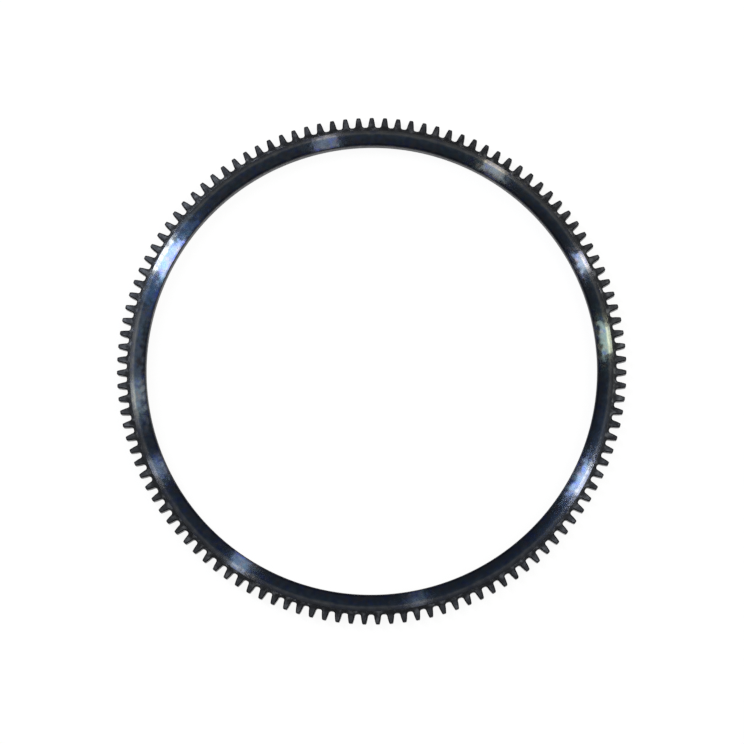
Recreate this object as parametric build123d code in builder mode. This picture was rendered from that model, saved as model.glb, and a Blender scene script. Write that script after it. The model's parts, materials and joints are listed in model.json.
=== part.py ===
"""Flywheel ring gear: one steel ring with involute starter teeth round its rim.

Millimetres. The axis is Z and the origin is the middle of the bore on the seating face,
which is the flat back of the ring. The side that the starter pinion enters faces up.
"""

from build123d import *
import os
from math import acos, cos, pi, radians, sin, tan

# Teeth
tooth_count = 119
module = 2.5
pressure_angle = 12
flank_thinning = 0.53
root_clearance = 0.85
root_round_radius = 1.25
tip_corner_flat = 0.4

# Ring section
tooth_width = 8.0
face_rise = 2.0
rim_wall = 11.4
root_land = 1.8
shoulder_run = 2.5

# Bevels
bore_front_bevel = 0.6
bore_lead_bevel = 1.5
tip_front_bevel = 0.8
tip_back_bevel = 0.4
entry_bevel = 0.6

# Circles worked out from the tooth form
pitch_radius = module * tooth_count / 2
base_radius = pitch_radius * cos(radians(pressure_angle))
tip_radius = pitch_radius + module
root_radius = pitch_radius - module - root_clearance
bore_radius = root_radius - rim_wall
shoulder_foot_radius = root_radius - root_land
shoulder_top_radius = shoulder_foot_radius - shoulder_run

# Tooth on the pitch circle, and the angle that half of it takes up
tooth_thickness = pi * module / 2 - flank_thinning
tooth_half_angle = tooth_thickness / 2 / pitch_radius

# Flats that draw the round in each root corner
root_flats = 2

# Each cutting shape reaches this far past the blank, so that no faces coincide
overrun = 1.0


def involute(angle):
    """Involute function of an angle in radians."""
    return tan(angle) - angle


def gap_half_angle(radius):
    """Half the angle between the two flanks of one gap. Below the base circle they are radial."""
    narrowing = involute(acos(min(base_radius / radius, 1))) - involute(radians(pressure_angle))
    return pi / tooth_count - tooth_half_angle + narrowing


def gap_half_width(radius):
    """Half the distance straight across one gap."""
    return radius * sin(gap_half_angle(radius))


def gap_point(radius, side, widening=0.0):
    """A point of the gap's outline. The gap is centred on +X, and side is 1 or -1."""
    angle = side * (gap_half_angle(radius) + widening / radius)
    return (radius * cos(angle), radius * sin(angle))


def root_round(side):
    """Points of the round from the bottom of the gap up to one flank."""
    points = []
    for step in range(root_flats + 1):
        turn = pi / 2 * step / root_flats
        radius = root_radius + root_round_radius * (1 - cos(turn))
        points.append(gap_point(radius, side, -root_round_radius * (1 - sin(turn))))
    return points


def flank(side):
    """Three points of one flank, from its root round up to the flat on its tip corner."""
    foot = root_radius + root_round_radius
    top = tip_radius - tip_corner_flat
    return [gap_point(radius, side) for radius in (foot, (foot + top) / 2, top)]


# Gap between two teeth
with BuildPart() as tooth_gap:
    mouth_radius = tip_radius + overrun
    mouth_widening = tip_corner_flat + overrun
    with BuildSketch(Plane.XY.offset(-overrun)):
        with BuildLine():
            for side in (1, -1):
                Polyline(*root_round(side))
                flank_arc = ThreePointArc(*flank(side))
                Line(flank_arc @ 1, gap_point(mouth_radius, side, mouth_widening))
            Line(root_round(1)[0], root_round(-1)[0])
            Line(gap_point(mouth_radius, 1, mouth_widening), gap_point(mouth_radius, -1, mouth_widening))
        make_face()
    extrude(amount=tooth_width + 2 * overrun)

# Bevelled mouth of the gap, on the side where the pinion enters
with BuildPart() as gap_mouth:
    mouth_depth = entry_bevel + root_round_radius / 2
    mouth_foot = (root_radius - entry_bevel, gap_half_width(root_radius) + entry_bevel)
    mouth_rim = (tip_radius + mouth_depth + overrun, gap_half_width(tip_radius) + entry_bevel)
    with BuildSketch(Plane.XY.offset(tooth_width - mouth_depth)):
        with BuildLine():
            half_mouth = Polyline((mouth_foot[0], 0), mouth_foot, mouth_rim, (mouth_rim[0], 0))
            mirror(half_mouth, about=Plane.XZ)
        make_face()
    extrude(amount=mouth_depth + overrun)
    chamfer(gap_mouth.faces().sort_by(Axis.Z)[0].edges(), mouth_depth)

with BuildPart() as ring_gear:
    # Blank, with one narrow flat for each tooth tip in place of the tip circle
    with BuildSketch():
        RegularPolygon(tip_radius, tooth_count, major_radius=False, rotation=180 / tooth_count)
    extrude(amount=tooth_width)
    chamfer(ring_gear.faces().sort_by(Axis.Z)[0].edges(), tip_back_bevel)
    chamfer(ring_gear.faces().sort_by(Axis.Z)[-1].edges(), tip_front_bevel)

    # Raised front face with its sloping shoulder
    with Locations((0, 0, tooth_width)):
        at_foot = (Align.CENTER, Align.CENTER, Align.MIN)
        Cone(shoulder_foot_radius, shoulder_top_radius, face_rise, align=at_foot)

    # Bore, bevelled at both ends
    Hole(bore_radius)
    bore_wall = ring_gear.faces().filter_by(GeomType.CYLINDER)
    chamfer(bore_wall.edges().filter_by(GeomType.CIRCLE).sort_by(Axis.Z)[0], bore_lead_bevel)
    bore_wall = ring_gear.faces().filter_by(GeomType.CYLINDER)
    chamfer(bore_wall.edges().filter_by(GeomType.CIRCLE).sort_by(Axis.Z)[-1], bore_front_bevel)

    # Teeth, left standing between the gaps
    with PolarLocations(0, tooth_count, start_angle=180 / tooth_count):
        add(tooth_gap.part, mode=Mode.SUBTRACT)
        add(gap_mouth.part, mode=Mode.SUBTRACT)

ring_gear.part.label = "ring_gear"
os.makedirs("parts", exist_ok=True)
export_step(ring_gear.part, "parts/ring_gear.step")
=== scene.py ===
"""Looks of the flywheel ring gear: the finished steel ring on a plain pale floor.

Everything is in metres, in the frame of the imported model: Z along the bore's axis, the seating
face at Z = 0 and a tooth standing on +X.
"""

import json
import logging
from collections.abc import Callable, Sequence
from dataclasses import dataclass, field
from enum import Enum
from math import acos, cos, pi, radians, sin, tan

import bmesh
import bpy
from bmesh.types import BMEdge, BMesh, BMFace, BMVert
from mathutils import Matrix, Vector

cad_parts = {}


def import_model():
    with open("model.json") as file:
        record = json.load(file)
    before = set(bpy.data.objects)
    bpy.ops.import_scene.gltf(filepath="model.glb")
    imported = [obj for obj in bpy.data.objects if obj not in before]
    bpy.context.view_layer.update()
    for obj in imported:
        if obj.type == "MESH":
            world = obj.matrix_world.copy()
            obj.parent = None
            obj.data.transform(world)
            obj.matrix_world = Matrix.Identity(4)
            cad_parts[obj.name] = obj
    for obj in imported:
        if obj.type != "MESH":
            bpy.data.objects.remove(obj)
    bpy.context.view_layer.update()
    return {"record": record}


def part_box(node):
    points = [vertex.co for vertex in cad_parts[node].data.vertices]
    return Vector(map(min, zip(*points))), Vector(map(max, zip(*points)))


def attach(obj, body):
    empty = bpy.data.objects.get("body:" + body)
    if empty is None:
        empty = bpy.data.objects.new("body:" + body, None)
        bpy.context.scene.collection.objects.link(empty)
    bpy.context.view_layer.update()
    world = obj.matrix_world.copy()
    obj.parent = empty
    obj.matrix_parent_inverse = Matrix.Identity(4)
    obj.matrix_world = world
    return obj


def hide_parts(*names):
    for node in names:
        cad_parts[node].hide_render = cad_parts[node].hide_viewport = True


log = logging.getLogger("ring_gear")

MM = 0.001

# Within these, two points coincide, a point lies on a circle, and two angles are the same
WELD = 0.005 * MM
NEAR = 0.1 * MM
SAME_ANGLE = 1e-5

# Least angle between the two faces of a corner, of any edge worth a bevel, and of an edge
# that is shaded as a sharp one
CORNER_ANGLE = 0.5
BEVEL_ANGLE = 0.3
SHARP_ANGLE = radians(32.0)

# How steeply a face points up or down where it counts as level, and as a bevel
LEVEL = 0.9
BEVELLED = 0.2

# Where a finish begins to change and where it has changed, along Y and along X; along Y it is a
# painted bluer tint of the reflections
TINT_START_Y = 0.06
TINT_FULL_Y = -0.1
WEST_X = -0.04
EAST_X = 0.1

# Height that a place is given, so that the rings have a direction on a wall that faces the axis too
AXIS_LIFT = 0.14

# Turns the stretch of a highlight from along the rings to across them
QUARTER_TURN = 0.25

Colour = tuple[float, float, float]
Stops = tuple[tuple[float, Colour], ...]
Socket = bpy.types.NodeSocket


def grey(level: float) -> Colour:
    """A neutral colour."""
    return (level, level, level)


class Zone(Enum):
    """The surfaces of the ring that are finished differently. The value is the material's place."""

    RAISED_FACE = 0
    SHOULDER = 1
    TOOTH_END = 2
    ENTRY_BEVEL = 3
    TOOTH_GAP = 4
    BORE = 5
    SEATING_FACE = 6


class NodeGraph:
    """Adds nodes to one material and links them, so that a finish reads as a few lines."""

    def __init__(self, name: str) -> None:
        """Makes an empty material.

        Args:
            name: the material's name.
        """
        self.material = bpy.data.materials.new(name)
        self.material.use_nodes = True
        self.tree = self.material.node_tree
        self.tree.nodes.clear()

    def add(self, kind: str, **settings: object) -> bpy.types.Node:
        """Adds a node.

        Args:
            kind: the node's type name.
            **settings: properties of the node.

        Returns:
            The new node.
        """
        node = self.tree.nodes.new(kind)
        for name, value in settings.items():
            setattr(node, name, value)
        return node

    def feed(self, socket: Socket, source: object) -> None:
        """Gives a socket its value or its link.

        Args:
            socket: the input to fill.
            source: another node's output, or a plain value.
        """
        if isinstance(source, Socket):
            self.tree.links.new(source, socket)
        elif isinstance(source, tuple) and len(source) == 3 and len(socket.default_value) == 4:
            socket.default_value = (*source, 1.0)
        else:
            socket.default_value = source

    def math(self, operation: str, *sources: object) -> Socket:
        """A Math node's result.

        Args:
            operation: the node's operation.
            *sources: its inputs, in order.

        Returns:
            The output socket.
        """
        node = self.add("ShaderNodeMath", operation=operation)
        for socket, source in zip(node.inputs, sources):
            self.feed(socket, source)
        return node.outputs[0]

    def vector(self, operation: str, *sources: object) -> bpy.types.Node:
        """A Vector Math node.

        Args:
            operation: the node's operation.
            *sources: its vector inputs, in order.

        Returns:
            The node, because some operations give a vector and some a value.
        """
        node = self.add("ShaderNodeVectorMath", operation=operation)
        for socket, source in zip(node.inputs, sources):
            self.feed(socket, source)
        return node

    def noise(self, where: Socket, scale: float, detail: float) -> Socket:
        """Noise between 0 and 1.

        Args:
            where: the coordinates.
            scale: features for each unit of the coordinates.
            detail: octaves.

        Returns:
            The noise's value.
        """
        node = self.add("ShaderNodeTexNoise")
        self.feed(node.inputs["Vector"], where)
        self.feed(node.inputs["Scale"], scale)
        self.feed(node.inputs["Detail"], detail)
        return node.outputs["Fac"]

    def spread(
        self, source: Socket, low: float, high: float, start: float = 0.0, end: float = 1.0
    ) -> Socket:
        """Maps a value from one range to another, smoothly and held at the ends.

        Args:
            source: the value.
            low: the value that gives start.
            high: the value that gives end.
            start: the result at low.
            end: the result at high.

        Returns:
            The mapped value.
        """
        node = self.add("ShaderNodeMapRange", interpolation_type="SMOOTHSTEP")
        for socket, value in zip(node.inputs, (source, low, high, start, end)):
            self.feed(socket, value)
        return node.outputs[0]

    def mix(self, share: object, first: object, second: object) -> Socket:
        """Mixes two colours.

        Args:
            share: how much of the second colour shows.
            first: the first colour.
            second: the second colour.

        Returns:
            The mixed colour.
        """
        node = self.add("ShaderNodeMix", data_type="RGBA")
        under, over = [socket for socket in node.inputs if socket.type == "RGBA"]
        self.feed(node.inputs["Factor"], share)
        self.feed(under, first)
        self.feed(over, second)
        return next(socket for socket in node.outputs if socket.type == "RGBA")

    def ramp(self, source: Socket, stops: Stops) -> Socket:
        """Colours along a value.

        Args:
            source: the value.
            stops: value and colour pairs in rising order.

        Returns:
            The colour.
        """
        low = stops[0][0]
        reach = stops[-1][0] - low
        node = self.add("ShaderNodeValToRGB")
        elements = node.color_ramp.elements
        while len(elements) < len(stops):
            elements.new(0.5)
        for element, (value, colour) in zip(elements, stops):
            element.position = (value - low) / reach
            element.color = (*colour, 1.0)
        share = self.math("DIVIDE", self.math("SUBTRACT", source, low), reach)
        self.feed(node.inputs[0], share)
        return node.outputs[0]

    def finish(self, shader: Socket) -> bpy.types.Material:
        """Ends the graph.

        Args:
            shader: the surface shader.

        Returns:
            The material.
        """
        output = self.add("ShaderNodeOutputMaterial")
        self.feed(output.inputs["Surface"], shader)
        return self.material


@dataclass(frozen=True)
class Pattern:
    """A noise pattern in a finish. Its range counts only where a share is asked for.

    Attributes:
        scale: features for each metre.
        detail: octaves.
        low: noise value where the pattern starts.
        high: noise value where it is full.
    """

    scale: float
    detail: float = 1.0
    low: float = 0.0
    high: float = 1.0

    def noise(self, graph: NodeGraph, place: Socket) -> Socket:
        """The pattern's bare noise."""
        return graph.noise(place, self.scale, self.detail)

    def share(self, graph: NodeGraph, place: Socket, start: float = 0.0, end: float = 1.0) -> Socket:
        """How much of the pattern shows at a place: start where it starts, and end where it is full."""
        return graph.spread(self.noise(graph, place), self.low, self.high, start, end)


HEAT_BLOTCHES = tuple(Pattern(scale, 3.0, 0.47, 0.72) for scale in (170.0, 260.0, 330.0))
ROUGH_PATCHES = Pattern(400.0, 2.0, 0.3, 0.7)
UNEVEN_PATCHES = Pattern(300.0, 0.0, 0.25, 0.75)
# Spots and runs of painted glints along the bore's edge
GLINT_SPOTS = Pattern(420.0, 1.0, 0.56, 0.64)
GLINT_RUNS = Pattern(14.0, 1.0, 0.48, 0.6)
RING_WANDER = Pattern(60.0)
DENTS = Pattern(420.0, 0.0)


@dataclass(frozen=True)
class TurnedSteel:
    """Steel turned on a lathe and darkened by heat, with fine rings that stretch its highlights.

    Attributes:
        name: the material's name.
        shades: radius and colour pairs, from the inside out.
        tints: the heat colours of its blotches.
        blotch: how much of the heat colours shows at most.
        roughness: roughness of the bare metal.
        stretch: how far the rings stretch a highlight across them, from 0 to 1.
        feed: distance from one turned ring to the next.
        furrow: slope of the rings' sides.
        outward: share of the surface whose ring sides face outwards. The rest faces inwards.
        steps: share of a slope that the tool left as small level steps.
        calm_east: share of the furrow that is left at the bore on +X, where the tool cut finer.
        calm_west: share of the furrow that is left at the bore on -X.
        uneven: how much the furrow changes from place to place.
        dents: height of the shallow dents.
        reflection_drift: what the colour is multiplied by on -Y, a painted bluer tint of the reflections
            there.
        glint_colour: colour of the bright spots along the bore's edge, which are painted glints.
        glint_share: how much of it shows at most.
        glint_width: how far the painted glints reach from the inside.
        calm_whole: how far from the inside the furrow is calmed in full.
        calm_gone: how far from the inside it is calmed no more.
        ring_edge: how softly a ring's two sides meet, as a share of the feed.
        least_rough: the least that the roughness is multiplied by.
        most_rough: the most that it is multiplied by.
    """

    name: str
    shades: Stops
    tints: tuple[Colour, ...]
    blotch: float = 0.5
    roughness: float = 0.34
    stretch: float = 0.95
    feed: float = 0.25 * MM
    furrow: float = 0.06
    outward: float = 0.5
    steps: float = 0.0
    calm_east: float = 1.0
    calm_west: float = 1.0
    uneven: float = 0.0
    dents: float = 0.02 * MM
    reflection_drift: Colour = (1.0, 1.0, 1.0)
    glint_colour: Colour = (0.42, 0.36, 0.38)
    glint_share: float = 0.0
    glint_width: float = 1.1 * MM
    calm_whole: float = 1.5 * MM
    calm_gone: float = 6.6 * MM
    ring_edge: float = 0.04
    least_rough: float = 0.9
    most_rough: float = 1.15

    @property
    def inner_radius(self) -> float:
        """Radius at the finish's inside."""
        return self.shades[0][0]

    def material(self) -> bpy.types.Material:
        """Builds the material.

        Returns:
            The material.
        """
        graph = NodeGraph(self.name)
        place = graph.add("ShaderNodeTexCoord").outputs["Object"]
        flat = graph.vector("MULTIPLY", place, (1.0, 1.0, 0.0)).outputs[0]
        radius = graph.vector("LENGTH", flat).outputs["Value"]
        normal = graph.add("ShaderNodeNewGeometry").outputs["Normal"]
        along = self.along_rings(graph, flat, normal)

        shader = graph.add("ShaderNodeBsdfPrincipled")
        graph.feed(shader.inputs["Base Color"], self.colour(graph, place, radius))
        graph.feed(shader.inputs["Metallic"], 1.0)
        graph.feed(shader.inputs["Roughness"], self.worn_roughness(graph, place))
        graph.feed(shader.inputs["Anisotropic"], self.stretch)
        graph.feed(shader.inputs["Anisotropic Rotation"], QUARTER_TURN)
        graph.feed(shader.inputs["Tangent"], along)
        graph.feed(shader.inputs["Normal"], self.surface(graph, place, radius, normal, along))
        return graph.finish(shader.outputs[0])

    def colour(self, graph: NodeGraph, place: Socket, radius: Socket) -> Socket:
        """The metal's colour, with heat colours in blotches and painted glints in spots along the bore.

        Args:
            graph: the material's graph.
            place: the object coordinates.
            radius: distance from the axis.

        Returns:
            The colour.
        """
        colour = graph.ramp(radius, self.shades)
        for tint, blotches in zip(self.tints, HEAT_BLOTCHES):
            colour = graph.mix(blotches.share(graph, place, 0.0, self.blotch), colour, tint)
        parts = graph.add("ShaderNodeSeparateXYZ")
        graph.feed(parts.inputs[0], place)
        # Bluer towards -Y: a painted tint of the reflections on that side
        tinted_side = graph.spread(parts.outputs["Y"], TINT_START_Y, TINT_FULL_Y)
        colour = graph.vector("MULTIPLY", colour, graph.mix(tinted_side, (1.0, 1.0, 1.0), self.reflection_drift)).outputs[0]
        # Bright spots along the bore's edge: painted glints
        if self.glint_share > 0.0:
            start = self.inner_radius
            near = graph.spread(radius, start, start + self.glint_width, self.glint_share, 0.0)
            spots = graph.math("MULTIPLY", near, GLINT_SPOTS.share(graph, place))
            glinting = graph.math("MULTIPLY", spots, GLINT_RUNS.share(graph, place))
            colour = graph.mix(glinting, colour, self.glint_colour)
        return colour

    def worn_roughness(self, graph: NodeGraph, place: Socket) -> Socket:
        """The roughness, a little uneven."""
        least = self.roughness * self.least_rough
        return ROUGH_PATCHES.share(graph, place, least, self.roughness * self.most_rough)

    def surface(
        self, graph: NodeGraph, place: Socket, radius: Socket, normal: Socket, along: Socket
    ) -> Socket:
        """The surface's direction, tilted by the fine rings and the small dents.

        Args:
            graph: the material's graph.
            place: the object coordinates.
            radius: distance from the axis.
            normal: the surface's own direction.
            along: the direction of the rings.

        Returns:
            The tilted direction.
        """
        slope = self.ring_slope(graph, place, radius)
        base = normal
        if self.steps > 0.0:
            sloping = graph.vector("SCALE", normal)
            graph.feed(sloping.inputs["Scale"], 1.0 - self.steps)
            base = graph.vector("ADD", sloping.outputs[0], (0.0, 0.0, self.steps)).outputs[0]
        across = graph.vector("CROSS_PRODUCT", base, along).outputs[0]
        tilt = graph.vector("SCALE", across)
        graph.feed(tilt.inputs["Scale"], slope)
        tilted = graph.vector("SUBTRACT", base, tilt.outputs[0]).outputs[0]
        bump = graph.add("ShaderNodeBump")
        graph.feed(bump.inputs["Strength"], 1.0)
        graph.feed(bump.inputs["Distance"], self.dents)
        graph.feed(bump.inputs["Height"], DENTS.noise(graph, place))
        graph.feed(bump.inputs["Normal"], graph.vector("NORMALIZE", tilted).outputs[0])
        return bump.outputs[0]

    def ring_slope(self, graph: NodeGraph, place: Socket, radius: Socket) -> Socket:
        """The slope of the rings' sides: outwards where positive, and calmer near the bore.

        Args:
            graph: the material's graph.
            place: the object coordinates.
            radius: distance from the axis.

        Returns:
            The slope.
        """
        parts = graph.add("ShaderNodeSeparateXYZ")
        graph.feed(parts.inputs[0], place)
        east, _, height = parts.outputs
        depth = graph.math("SUBTRACT", radius, height)
        rings = graph.math("ADD", graph.math("DIVIDE", depth, self.feed), RING_WANDER.noise(graph, place))
        turns = graph.math("FRACT", rings)
        side = graph.spread(turns, self.outward - self.ring_edge, self.outward + self.ring_edge, 1.0, -1.0)
        start = self.inner_radius
        finer = graph.spread(east, WEST_X, EAST_X, self.calm_west, self.calm_east)
        near = graph.spread(radius, start + self.calm_whole, start + self.calm_gone, 1.0, 0.0)
        calmed = graph.math("ADD", 1.0, graph.math("MULTIPLY", near, graph.math("SUBTRACT", finer, 1.0)))
        patchy = UNEVEN_PATCHES.share(graph, place, 1.0 - self.uneven, 1.0 + self.uneven)
        steep = graph.math("MULTIPLY", graph.math("MULTIPLY", calmed, patchy), self.furrow)
        return graph.math("MULTIPLY", side, steep)

    @staticmethod
    def along_rings(graph: NodeGraph, flat: Socket, normal: Socket) -> Socket:
        """The direction of the turning rings at a point: round the axis, or along it on a tooth's flank.

        Args:
            graph: the material's graph.
            flat: the place, with no height.
            normal: the surface's own direction.

        Returns:
            The direction.
        """
        lifted = graph.vector("ADD", flat, (0.0, 0.0, AXIS_LIFT)).outputs[0]
        crossed = graph.vector("CROSS_PRODUCT", normal, lifted).outputs[0]
        return graph.vector("NORMALIZE", crossed).outputs[0]


@dataclass(frozen=True)
class ToothForm:
    """Plan of the teeth. Each flank is an involute that turns radial below the base circle.

    Attributes:
        tip_radius: radius of the tip circle.
        count: teeth round the ring.
        pressure_angle: the flank's angle on the pitch circle.
        flank_thinning: how much thinner a tooth is than half the pitch.
        root_clearance: depth of the gap beyond the pinion's tip.
        flank_steps: straight pieces in one flank.
    """

    tip_radius: float
    count: int = 119
    pressure_angle: float = radians(12.0)
    flank_thinning: float = 0.53 * MM
    root_clearance: float = 0.85 * MM
    flank_steps: int = 4

    @property
    def module(self) -> float:
        """Tooth module."""
        return self.tip_radius / (self.count / 2 + 1)

    @property
    def pitch_radius(self) -> float:
        """Radius of the pitch circle."""
        return self.module * self.count / 2

    @property
    def root_radius(self) -> float:
        """Radius of the root circle."""
        return self.pitch_radius - self.module - self.root_clearance

    @property
    def half_pitch(self) -> float:
        """Angle from the middle of a tooth to the middle of a gap."""
        return pi / self.count

    def half_angle(self, radius: float) -> float:
        """Half the angle that a tooth takes up.

        Args:
            radius: where it is measured.

        Returns:
            The angle in radians.
        """
        base_radius = self.pitch_radius * cos(self.pressure_angle)
        slope = acos(min(base_radius / radius, 1.0))
        thickness = pi * self.module / 2 - self.flank_thinning
        widening = tan(self.pressure_angle) - self.pressure_angle
        return thickness / 2 / self.pitch_radius + widening - (tan(slope) - slope)

    def flank(self) -> list[Vector]:
        """Points of one flank, from the tip down to the root.

        Returns:
            The points, at height 0.
        """
        depth = self.tip_radius - self.root_radius
        radii = [self.tip_radius - depth * step / self.flank_steps for step in range(self.flank_steps + 1)]
        return [polar(radius, self.half_angle(radius)) for radius in radii]


def polar(radius: float, angle: float, height: float = 0.0) -> Vector:
    """The point at a radius, an angle from +X and a height above the seating face."""
    return Vector((radius * cos(angle), radius * sin(angle), height))


def rise(edge: BMEdge) -> float:
    """Difference in height between an edge's two ends."""
    return abs(edge.verts[0].co.z - edge.verts[1].co.z)


def bent(edge: BMEdge, angle: float) -> bool:
    """Whether the faces of an edge meet at more than an angle."""
    return edge.calc_face_angle(0.0) > angle


@dataclass
class ToothedRing:
    """The ring itself: rim, shoulder, raised face, bore and teeth, as one closed mesh.

    Attributes:
        teeth: plan of the teeth.
        ring_width: height of the raised face above the seating face.
        bore_radius: radius of the bore's wall.
        bore_wall: length of the bore's wall between its bevels.
        face_rise: how far the raised face stands above the tooth ends.
        root_land: level strip between the shoulder and the roots.
        shoulder_run: width of the sloping shoulder.
        bore_front_bevel: bevel of the bore on the front.
        root_round: rounding of the corners at a gap's bottom.
        tip_round: rounding of a tooth's tip corners.
        entry_bevel: bevel of the teeth and gaps where the pinion enters.
        back_bevel: bevel of the teeth and gaps on the back.
        edge_round: rounding of the turned edges.
        shoulder_round: rounding of the shoulder's top.
        corner_reach: how far down a tooth its tip corner's bevelled end reaches, in entry bevels.
        root_steps: strips in a root's round.
        tip_steps: strips in a tip corner's round.
        crest_steps: strips in the round of the shoulder's top.
        edge_steps: strips in the round of a turned edge.
        arc_steps: straight pieces along half a tooth's share of the rim.
        mesh: the mesh while it is built.
    """

    teeth: ToothForm
    ring_width: float
    bore_radius: float
    bore_wall: float
    face_rise: float = 2.0 * MM
    root_land: float = 1.8 * MM
    shoulder_run: float = 2.5 * MM
    bore_front_bevel: float = 0.6 * MM
    root_round: float = 1.25 * MM
    tip_round: float = 0.4 * MM
    entry_bevel: float = 0.65 * MM
    back_bevel: float = 0.3 * MM
    edge_round: float = 0.15 * MM
    shoulder_round: float = 0.9 * MM
    corner_reach: float = 1.3
    root_steps: int = 5
    tip_steps: int = 3
    crest_steps: int = 4
    edge_steps: int = 2
    arc_steps: int = 2
    mesh: BMesh = field(default_factory=bmesh.new)

    @property
    def tooth_width(self) -> float:
        """Height of the tooth ends above the seating face."""
        return self.ring_width - self.face_rise

    @property
    def shoulder_foot(self) -> float:
        """Radius at the foot of the shoulder."""
        return self.teeth.root_radius - self.root_land

    @property
    def shoulder_top(self) -> float:
        """Radius at the top of the shoulder."""
        return self.shoulder_foot - self.shoulder_run

    @property
    def lowest_corner(self) -> float:
        """Radius at the lower end of a bevelled tip corner."""
        return self.teeth.tip_radius - self.corner_reach * self.entry_bevel

    @property
    def section(self) -> list[tuple[float, float]]:
        """Radius and height of the ring's section, from the shoulder in to the bore and out under it."""
        lead = self.ring_width - self.bore_front_bevel - self.bore_wall
        return [
            (self.shoulder_top, self.ring_width),
            (self.bore_radius + self.bore_front_bevel, self.ring_width),
            (self.bore_radius, self.ring_width - self.bore_front_bevel),
            (self.bore_radius, lead),
            (self.bore_radius + lead, 0.0),
            (self.shoulder_foot, 0.0),
        ]

    def build(self) -> bpy.types.Object:
        """Builds the ring.

        Returns:
            The finished object, whose faces carry the place of their zone's material.
        """
        self.shape_half_tooth()
        self.repeat_round()
        self.round_edges()
        self.mark_zones()
        data = bpy.data.meshes.new("toothed_ring")
        self.mesh.to_mesh(data)
        self.mesh.free()
        data.set_sharp_from_angle(angle=SHARP_ANGLE)
        piece = bpy.data.objects.new("toothed_ring", data)
        bpy.context.scene.collection.objects.link(piece)
        return piece

    def shape_half_tooth(self) -> None:
        """Makes half a tooth with its share of the rim, open where its neighbours join on."""
        mesh = self.mesh
        steps = range(self.arc_steps, -1, -1)
        inner = [polar(self.shoulder_foot, self.teeth.half_pitch * step / self.arc_steps) for step in steps]
        outline = [polar(self.teeth.tip_radius, 0.0), *self.teeth.flank()]
        outline.append(polar(self.teeth.root_radius, self.teeth.half_pitch))
        plan = mesh.faces.new([mesh.verts.new(point) for point in outline + inner])
        raised = bmesh.ops.extrude_face_region(mesh, geom=[plan])["geom"]
        lifted = [item for item in raised if isinstance(item, BMVert)]
        bmesh.ops.translate(mesh, verts=lifted, vec=(0.0, 0.0, self.tooth_width))
        bmesh.ops.delete(mesh, geom=self.joining_walls(), context="FACES")

        rim = [edge for edge in mesh.edges if self.on_foot(edge)]
        radius = self.shoulder_foot
        for next_radius, height in self.section:
            strip = bmesh.ops.extrude_edge_only(mesh, edges=rim)["geom"]
            moved = [item for item in strip if isinstance(item, BMVert)]
            borders = [item for item in strip if isinstance(item, BMEdge)]
            rim = [edge for edge in borders if all(vert in moved for vert in edge.verts)]
            share = next_radius / radius
            bmesh.ops.scale(mesh, verts=moved, vec=(share, share, 1.0))
            bmesh.ops.translate(mesh, verts=moved, vec=(0.0, 0.0, height - moved[0].co.z))
            radius = next_radius
        bmesh.ops.remove_doubles(mesh, verts=mesh.verts, dist=WELD)

    def on_foot(self, edge: BMEdge) -> bool:
        """Whether an edge lies on the foot of the shoulder, on the front."""
        return all(
            abs(vert.co.xy.length - self.shoulder_foot) < WELD and vert.co.z > self.tooth_width / 2
            for vert in edge.verts
        )

    def on_seam(self, edge: BMEdge) -> bool:
        """Whether an edge runs level down the middle of the first tooth."""
        middle = all(
            abs(vert.co.y) < WELD and vert.co.xy.length > self.shoulder_foot - WELD for vert in edge.verts
        )
        return middle and rise(edge) < WELD

    def joining_walls(self) -> list[BMFace]:
        """The walls of half a tooth that lie inside the finished ring.

        Returns:
            The faces to take away.
        """
        walls = []
        for face in self.mesh.faces:
            if abs(face.normal.z) > LEVEL:
                continue
            angles = [abs(vert.co.xy.to_3d().angle(Vector((1.0, 0.0, 0.0)))) for vert in face.verts]
            inside = all(vert.co.xy.length < self.shoulder_foot + WELD for vert in face.verts)
            middle = all(angle < SAME_ANGLE for angle in angles)
            gap = all(abs(angle - self.teeth.half_pitch) < SAME_ANGLE for angle in angles)
            if inside or middle or gap:
                walls.append(face)
        return walls

    def repeat_round(self) -> None:
        """Mirrors the half tooth and repeats the whole one round the ring."""
        mesh = self.mesh
        everything = mesh.verts[:] + mesh.edges[:] + mesh.faces[:]
        bmesh.ops.mirror(mesh, geom=everything, matrix=Matrix.Identity(4), merge_dist=WELD, axis="Y")
        bmesh.ops.remove_doubles(mesh, verts=mesh.verts, dist=WELD)
        seam = [edge for edge in mesh.edges if edge.is_manifold and self.on_seam(edge)]
        bmesh.ops.dissolve_edges(mesh, edges=seam, use_verts=False)
        everything = mesh.verts[:] + mesh.edges[:] + mesh.faces[:]
        copies = self.teeth.count - 1
        bmesh.ops.spin(
            mesh, geom=everything, cent=(0.0, 0.0, 0.0), axis=(0.0, 0.0, 1.0), dvec=(0.0, 0.0, 0.0),
            angle=2 * self.teeth.half_pitch * copies, steps=copies, use_duplicate=True,
        )
        bmesh.ops.remove_doubles(mesh, verts=mesh.verts, dist=WELD)
        bmesh.ops.recalc_face_normals(mesh, faces=mesh.faces)

    def bevel(self, chosen: Callable[[BMEdge], bool], width: float, segments: int = 1) -> None:
        """Bevels the chosen edges.

        Args:
            chosen: picks the edges.
            width: distance from the edge to the bevel's border.
            segments: strips in the bevel.
        """
        edges = [edge for edge in self.mesh.edges if edge.is_manifold and chosen(edge)]
        bmesh.ops.bevel(
            self.mesh, geom=edges, offset=width, offset_type="OFFSET", segments=segments,
            profile=0.5, affect="EDGES", material=-1, clamp_overlap=True,
        )

    def in_gap_corner(self, edge: BMEdge) -> bool:
        """Whether an edge is the upright corner at a gap's bottom."""
        near = abs(edge.verts[0].co.xy.length - self.teeth.root_radius) < NEAR
        return near and rise(edge) > self.tooth_width / 2 and bent(edge, CORNER_ANGLE)

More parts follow.
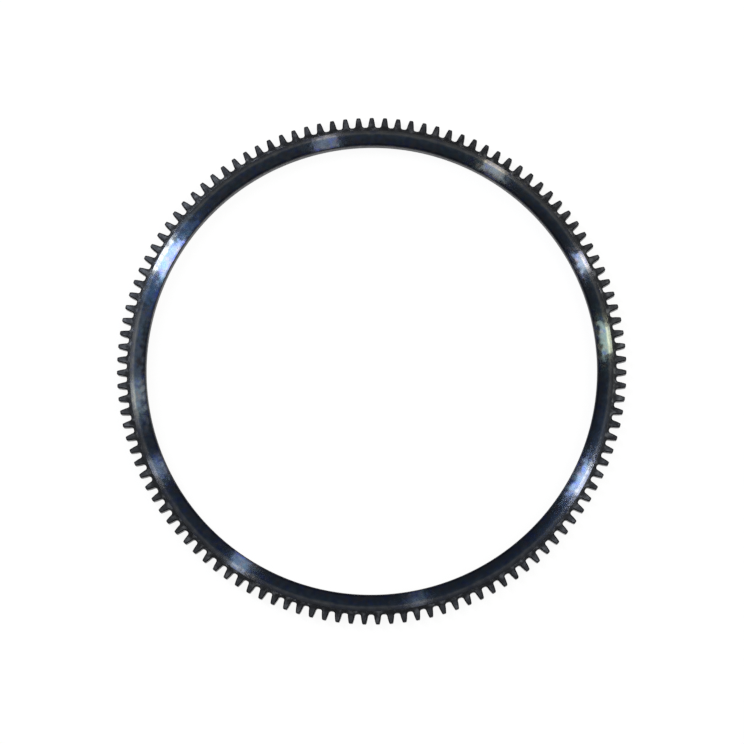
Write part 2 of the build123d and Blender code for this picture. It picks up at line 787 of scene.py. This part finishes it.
    def on_rim(self, edge: BMEdge, height: float) -> bool:
        """Whether an edge borders a flat tooth end.

        Args:
            edge: the edge.
            height: height of the tooth end.

        Returns:
            Whether it does.
        """
        outside = all(vert.co.xy.length > self.teeth.root_radius - NEAR for vert in edge.verts)
        level = all(abs(vert.co.z - height) < WELD for vert in edge.verts)
        return outside and level and bent(edge, CORNER_ANGLE)

    def on_tip_corner(self, edge: BMEdge) -> bool:
        """Whether an edge runs down a tip corner, through its bevels."""
        near = all(vert.co.xy.length > self.lowest_corner for vert in edge.verts)
        return near and rise(edge) > self.back_bevel / 2 and bent(edge, CORNER_ANGLE)

    def turned(self, edge: BMEdge) -> bool:
        """Whether an edge is a turned circle of the rim or the bore."""
        inside = all(vert.co.xy.length < self.shoulder_foot + WELD for vert in edge.verts)
        return inside and rise(edge) < WELD and bent(edge, BEVEL_ANGLE)

    def on_crest(self, edge: BMEdge) -> bool:
        """Whether an edge is the top of the shoulder."""
        return self.turned(edge) and all(abs(v.co.xy.length - self.shoulder_top) < WELD for v in edge.verts)

    def round_edges(self) -> None:
        """Rounds the roots and tips, and bevels the edges of the front, the back and the bore."""
        self.bevel(self.in_gap_corner, self.root_round, self.root_steps)
        self.bevel(lambda edge: self.on_rim(edge, self.tooth_width), self.entry_bevel)
        self.bevel(lambda edge: self.on_rim(edge, 0.0), self.back_bevel)
        self.bevel(self.on_tip_corner, self.tip_round, self.tip_steps)
        self.bevel(self.on_crest, self.shoulder_round, self.crest_steps)
        self.bevel(self.turned, self.edge_round, self.edge_steps)

    def mark_zones(self) -> None:
        """Gives each face its zone and smooth shading."""
        for face in self.mesh.faces:
            face.smooth = True
            face.material_index = self.zone(face).value

    def zone(self, face: BMFace) -> Zone:
        """The zone of one face.

        Args:
            face: a face of the finished mesh.

        Returns:
            Its zone.
        """
        centre = face.calc_center_median()
        radius = centre.xy.length
        up = face.normal.z
        if up < -LEVEL:
            return Zone.SEATING_FACE
        if radius < self.bore_radius + self.bore_front_bevel:
            return Zone.BORE
        if radius < self.shoulder_top - self.shoulder_round:
            return Zone.RAISED_FACE
        if radius < self.shoulder_foot - self.edge_round:
            return Zone.SHOULDER
        if up > LEVEL:
            return Zone.TOOTH_END
        if up > BEVELLED:
            return Zone.ENTRY_BEVEL
        return Zone.TOOTH_GAP


@dataclass(frozen=True)
class RingFinishes:
    """The finishes of the ring, one for each zone.

    Attributes:
        ring: the ring that they dress.
        teal: heat colour of the face.
        violet: deep heat colour.
        bronze: warm heat colour.
        straw: pale heat colour of the shoulder.
        soot: dark stain.
        bright: bare steel.
        reflection_tint: what a colour is multiplied by on -Y, a painted bluer tint of the reflections
            there.
        shaded_edge: width of the face's dark strip along the bore, which is painted shade.
        pale_strip: distance from the bore to the face's pale strip.
        even_face: distance from the bore to where the face's colour is even.
        before_top: distance inside the shoulder's top where it begins to pale.
        after_top: distance outside its top where it is palest.
        before_foot: distance inside its foot where it is dark again.
        tooth_foot: distance from the roots to where a tooth's end is pale.
    """

    ring: ToothedRing
    teal: Colour = (0.05, 0.089, 0.107)
    violet: Colour = (0.035, 0.05, 0.17)
    bronze: Colour = (0.09, 0.075, 0.08)
    straw: Colour = (0.23, 0.225, 0.19)
    soot: Colour = (0.03, 0.03, 0.035)
    bright: Colour = (0.21, 0.22, 0.24)
    reflection_tint: Colour = (0.96, 0.99, 1.08)
    shaded_edge: float = 1.0 * MM
    pale_strip: float = 1.9 * MM
    even_face: float = 3.4 * MM
    before_top: float = 0.6 * MM
    after_top: float = 0.4 * MM
    before_foot: float = 0.8 * MM
    tooth_foot: float = 1.6 * MM

    @property
    def face_shades(self) -> Stops:
        """Shades of the raised face, from the bore out to the shoulder, with painted shade along the bore.
        """
        bore = self.ring.bore_radius
        return (
            # A dark strip along the bore's edge: painted shade
            (bore, (0.02, 0.023, 0.035)),
            (bore + self.shaded_edge, (0.025, 0.03, 0.05)),
            (bore + self.pale_strip, (0.064, 0.076, 0.096)),
            (bore + self.even_face, (0.055, 0.073, 0.10)),
            (self.ring.shoulder_top, (0.061, 0.085, 0.12)),
        )

    @property
    def shoulder_shades(self) -> Stops:
        """Shades of the shoulder, from its top out to its foot."""
        return (
            (self.ring.shoulder_top - self.before_top, (0.06, 0.083, 0.11)),
            (self.ring.shoulder_top + self.after_top, (0.157, 0.166, 0.176)),
            (self.ring.shoulder_foot - self.before_foot, (0.098, 0.104, 0.113)),
            (self.ring.shoulder_foot, (0.09, 0.096, 0.108)),
        )

    @property
    def end_shades(self) -> Stops:
        """Shades of the tooth ends and the strip inside them, from the shoulder out to the tips."""
        root = self.ring.teeth.root_radius
        return (
            (self.ring.shoulder_foot, (0.047, 0.05, 0.056)),
            (root, (0.037, 0.039, 0.044)),
            (root + self.tooth_foot, (0.075, 0.079, 0.09)),
            (self.ring.teeth.tip_radius, (0.09, 0.094, 0.107)),
        )

    def across(self, inner: Colour, outer: Colour) -> Stops:
        """Shades that change evenly from the bore to the tips."""
        return ((self.ring.bore_radius, inner), (self.ring.teeth.tip_radius, outer))

    def finishes(self) -> dict[Zone, TurnedSteel]:
        """The finish of each zone.

        Returns:
            The finishes by zone.
        """
        heat = (self.teal, self.violet, self.bronze)
        stains = (self.soot, self.bronze)
        cut = self.across((0.034, 0.037, 0.044), (0.034, 0.037, 0.043))
        return {
            # The raised face's bright spots along the bore are painted glints
            Zone.RAISED_FACE: TurnedSteel(
                "blued_face", self.face_shades, heat, blotch=0.6, roughness=0.13, stretch=1.0,
                furrow=0.37, outward=0.85, steps=0.9, calm_east=0.38, calm_west=0.85, uneven=0.19,
                dents=0.01 * MM, reflection_drift=self.reflection_tint, glint_share=0.35,
            ),
            Zone.SHOULDER: TurnedSteel(
                "straw_shoulder", self.shoulder_shades, (self.straw, self.violet), blotch=0.32,
                roughness=0.14, stretch=1.0, furrow=0.375, outward=0.85, steps=0.92, uneven=0.14,
                dents=0.01 * MM, reflection_drift=self.reflection_tint,
            ),
            Zone.TOOTH_END: TurnedSteel(
                "tooth_ends", self.end_shades, (self.soot, self.bright), blotch=0.75, roughness=0.4,
                stretch=0.4,
            ),
            # The near-black bevels are painted shade, a dark outline round the teeth
            Zone.ENTRY_BEVEL: TurnedSteel(
                "entry_bevels", self.across(grey(0.022), (0.024, 0.025, 0.029)), (self.soot, self.soot),
                roughness=0.5, stretch=0.2,
            ),
            Zone.TOOTH_GAP: TurnedSteel(
                "tooth_gaps", cut, stains, blotch=0.35, roughness=0.42, stretch=0.3,
            ),
            Zone.BORE: TurnedSteel(
                "bore_wall", cut, stains, blotch=0.35, roughness=0.3, dents=0.005 * MM,
            ),
            Zone.SEATING_FACE: TurnedSteel(
                "seating_face", self.across((0.06, 0.066, 0.078), (0.065, 0.075, 0.09)), heat,
                roughness=0.3, furrow=0.05, dents=0.005 * MM,
            ),
        }

    def dress(self, piece: bpy.types.Object) -> None:
        """Puts the finishes on the ring.

        Args:
            piece: the ring's object.
        """
        made = self.finishes()
        for zone in Zone:
            piece.data.materials.append(made[zone].material())


@dataclass(frozen=True)
class Floor:
    """A plain pale floor that the ring lies on. It is clear from below, so that the back can be seen.

    Attributes:
        side: its length and width.
        gap: the hair's breadth between it and the seating face, so that the two don't coincide.
        colour: its colour.
        glow: how much white the camera sees on top of the lit colour.
        lit: how much of the lit colour the camera sees.
    """

    side: float = 6.0
    gap: float = 0.03 * MM
    colour: Colour = grey(0.8)
    glow: float = 0.92
    lit: float = 0.13

    def build(self) -> bpy.types.Object:
        """Builds the floor.

        Returns:
            The floor's object.
        """
        mesh = bmesh.new()
        below = Matrix.Translation((0.0, 0.0, -self.gap))
        bmesh.ops.create_grid(mesh, x_segments=1, y_segments=1, size=self.side / 2, matrix=below)
        data = bpy.data.meshes.new("floor")
        mesh.to_mesh(data)
        mesh.free()
        floor = bpy.data.objects.new("floor", data)
        bpy.context.scene.collection.objects.link(floor)
        data.materials.append(self.material())
        return floor

    def material(self) -> bpy.types.Material:
        """The floor's material: matt, and white to the camera and in reflections apart from soft shadows.

        Returns:
            The material.
        """
        graph = NodeGraph("pale_floor")
        matt = graph.add("ShaderNodeBsdfDiffuse")
        graph.feed(matt.inputs["Color"], self.colour)
        faint = graph.add("ShaderNodeBsdfDiffuse")
        graph.feed(faint.inputs["Color"], grey(self.lit))
        glow = graph.add("ShaderNodeEmission")
        graph.feed(glow.inputs["Strength"], self.glow)
        seen = graph.add("ShaderNodeAddShader")
        graph.feed(seen.inputs[0], faint.outputs[0])
        graph.feed(seen.inputs[1], glow.outputs[0])
        path = graph.add("ShaderNodeLightPath")
        rays = [path.outputs[name] for name in ("Is Camera Ray", "Is Glossy Ray", "Is Transmission Ray")]
        either = graph.math("MAXIMUM", graph.math("MAXIMUM", rays[0], rays[1]), rays[2])
        mixed = graph.add("ShaderNodeMixShader")
        graph.feed(mixed.inputs[0], either)
        graph.feed(mixed.inputs[1], matt.outputs[0])
        graph.feed(mixed.inputs[2], seen.outputs[0])
        clear = graph.add("ShaderNodeBsdfTransparent")
        whole = graph.add("ShaderNodeMixShader")
        graph.feed(whole.inputs[0], graph.add("ShaderNodeNewGeometry").outputs["Backfacing"])
        graph.feed(whole.inputs[1], mixed.outputs[0])
        graph.feed(whole.inputs[2], clear.outputs[0])
        return graph.finish(whole.outputs[0])


@dataclass(frozen=True)
class Lamp:
    """One tall narrow lamp. It leans away from the middle spot, where a flat face mirrors the camera.

    A turned face shines towards the camera where its rings run across the lamp's side, so the side is
    that of the shine.

    Attributes:
        name: the lamp's name.
        side: the side that it leans to, in degrees from +X.
        level: how bright it alone would light a white floor.
        breadth: how wide it looks from the ring, in degrees.
        tint: its colour.
        nearest: lean of its nearest end, as the level part of its direction.
        farthest: lean of its farthest end.
        distance: its distance from the ring's middle.
        spot: the middle spot, as the level parts of its direction.
    """

    name: str
    side: float
    level: float
    breadth: float = 4.5
    tint: Colour = (1.0, 1.0, 1.0)
    nearest: float = 0.5
    farthest: float = 0.88
    distance: float = 3.0
    spot: tuple[float, float] = (-0.0233, 0.115)

    def direction(self, lean: float) -> Vector:
        """Unit direction from the ring to the lamp's point that leans this far from the middle spot."""
        level = Vector((*self.spot, 0.0)) + polar(lean, radians(self.side))
        return level + Vector((0.0, 0.0, (1.0 - level.length_squared) ** 0.5))

    def build(self) -> bpy.types.Object:
        """Builds the lamp.

        Returns:
            The lamp's object.
        """
        outward = self.direction((self.nearest + self.farthest) / 2)
        span = self.direction(self.farthest) - self.direction(self.nearest)
        along = (span - outward * span.dot(outward)).normalized()
        across = along.cross(outward)
        data = bpy.data.lights.new(self.name, "AREA")
        data.shape = "RECTANGLE"
        data.size = 2 * self.distance * tan(radians(self.breadth) / 2)
        data.size_y = self.distance * span.length
        data.color = self.tint
        data.energy = self.level * pi ** 2 * self.distance ** 2 / outward.z
        lamp = bpy.data.objects.new(self.name, data)
        turn = Matrix((across, along, outward)).transposed().to_4x4()
        lamp.matrix_world = Matrix.Translation(outward * self.distance) @ turn
        lamp.visible_camera = False
        bpy.context.scene.collection.objects.link(lamp)
        return lamp


@dataclass(frozen=True)
class Studio:
    """Plain soft light: a sky that is pale at its edge and dimmer overhead, and tall lamps round the ring.

    Attributes:
        overhead: the sky's level straight up.
        edge: the sky's level at the horizon.
        edge_height: how high the level at the horizon reaches, as the upright part of a direction.
        lamps: the lamps.
    """

    overhead: float = 0.15
    edge: float = 0.5
    edge_height: float = 0.2
    lamps: Sequence[Lamp] = (
        Lamp("lamp_left", 152.4, 0.19, 6.2, (0.97, 0.98, 1.0), 0.37, 0.8, distance=2.0),
        Lamp("lamp_left_fringe", 153.0, 0.05, 16.0, (0.35, 0.6, 1.0), 0.37, 0.8, distance=2.0),
        Lamp("lamp_right", 7.9, 0.076, 5.2, (0.97, 1.0, 0.68)),
        Lamp("lamp_low_right", 27.4, 0.063, 3.0, (1.0, 0.92, 0.88)),
        Lamp("lamp_upper_right", 59.3, 0.041, 3.8, (1.0, 0.86, 0.66)),
        Lamp("lamp_top", 102.3, 0.0135, 3.8, (1.0, 0.93, 0.95), 0.52, 0.76),
        Lamp("lamp_far_left", 181.0, 0.022, 22.0, (1.0, 1.0, 1.0), 0.66, 0.92),
        Lamp("lamp_front_left", 187.5, 0.011, 5.2, (1.0, 0.97, 0.95), 0.57),
        Lamp("lamp_lower_left", 205.5, 0.0082, 3.2, (0.84, 0.92, 1.0), 0.57),
        Lamp("lamp_bottom_left", 237.0, 0.0215, 3.2, (0.82, 0.9, 1.0)),
        Lamp("lamp_bottom", 282.0, 0.0042, 2.6, (0.95, 0.97, 1.0)),
        Lamp("lamp_front_right", 332.5, 0.087, 5.4, (0.93, 0.93, 1.0)),
    )

    def build(self) -> None:
        """Builds the sky and the lamps."""
        world = bpy.data.worlds.new("soft_sky")
        world.use_nodes = True
        tree = world.node_tree
        background = tree.nodes["Background"]
        place = tree.nodes.new("ShaderNodeTexCoord")
        parts = tree.nodes.new("ShaderNodeSeparateXYZ")
        tree.links.new(place.outputs["Generated"], parts.inputs[0])
        level = tree.nodes.new("ShaderNodeMapRange")
        level.interpolation_type = "SMOOTHSTEP"
        tree.links.new(parts.outputs["Z"], level.inputs[0])
        for socket, value in zip(level.inputs[1:], (self.edge_height, 1.0, self.edge, self.overhead)):
            socket.default_value = value
        tree.links.new(level.outputs[0], background.inputs["Strength"])
        background.inputs["Color"].default_value = (1.0, 1.0, 1.0, 1.0)
        bpy.context.scene.world = world
        for lamp in self.lamps:
            lamp.build()


@dataclass(frozen=True)
class PhotoCamera:
    """The photograph's camera, which looks down on the ring with a small tilt.

    Attributes:
        target_height: height of the tooth ends, where the view is centred.
        tilt_back: tilt about the picture's level axis, in radians.
        tilt_side: tilt about the picture's upright axis, in radians.
        turn: how far the photographed ring's teeth are turned, in radians.
        distance: distance from the ring.
        pixel: size of one pixel at the ring.
        offset: where the ring's middle lies from the picture's, in pixels, right and up.
        image_side: side of the square picture, in pixels.
        sensor: width of the camera's sensor, in millimetres.
    """

    target_height: float
    tilt_back: float = -0.1153
    tilt_side: float = -0.0233
    turn: float = radians(0.695)
    distance: float = 2.185
    pixel: float = 0.5933 * MM
    offset: tuple[float, float] = (-0.71, 3.04)
    image_side: int = 744
    sensor: float = 36.0

    def build(self) -> bpy.types.Object:
        """Builds the camera and makes it the scene's.

        Returns:
            The camera's object.
        """
        side = Matrix.Rotation(-self.tilt_side, 4, "Y")
        back = Matrix.Rotation(-self.tilt_back, 4, "X")
        aim = Matrix.Rotation(self.turn, 4, "Z") @ back @ side
        data = bpy.data.cameras.new("photo_camera")
        data.sensor_width = self.sensor
        data.lens = self.distance / self.pixel * self.sensor / self.image_side
        data.shift_x = -self.offset[0] / self.image_side
        data.shift_y = -self.offset[1] / self.image_side
        camera = bpy.data.objects.new("photo_camera", data)
        centre = Matrix.Translation((0.0, 0.0, self.target_height))
        camera.matrix_world = centre @ aim @ Matrix.Translation((0.0, 0.0, self.distance))
        bpy.context.scene.collection.objects.link(camera)
        bpy.context.scene.camera = camera
        return camera


def bore_mount(record: dict) -> dict:
    """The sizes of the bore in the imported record, in millimetres."""
    return next(mount["dims"] for mount in record["mounts"] if mount["name"] == "bore")


def main() -> None:
    """Builds the ring, its finishes, the floor, the light and the camera."""
    logging.basicConfig(level=logging.INFO, format="%(name)s: %(message)s")
    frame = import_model()
    bpy.context.scene.view_settings.view_transform = "Standard"

    low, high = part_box("ring_gear")
    dims = bore_mount(frame["record"])
    ring = ToothedRing(ToothForm(high.x), high.z - low.z, dims["r_mm"] * MM, dims["length_mm"] * MM)
    piece = ring.build()
    RingFinishes(ring).dress(piece)
    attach(piece, "root")
    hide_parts("ring_gear")
    log.info("%s: %d faces", piece.name, len(piece.data.polygons))

    floor = Floor().build()
    log.info("%s: %.1f m square", floor.name, Floor.side)

    Studio().build()
    camera = PhotoCamera(ring.tooth_width).build()
    log.info("%s: lens %.0f mm", camera.name, camera.data.lens)


if __name__ == "__main__":
    main()
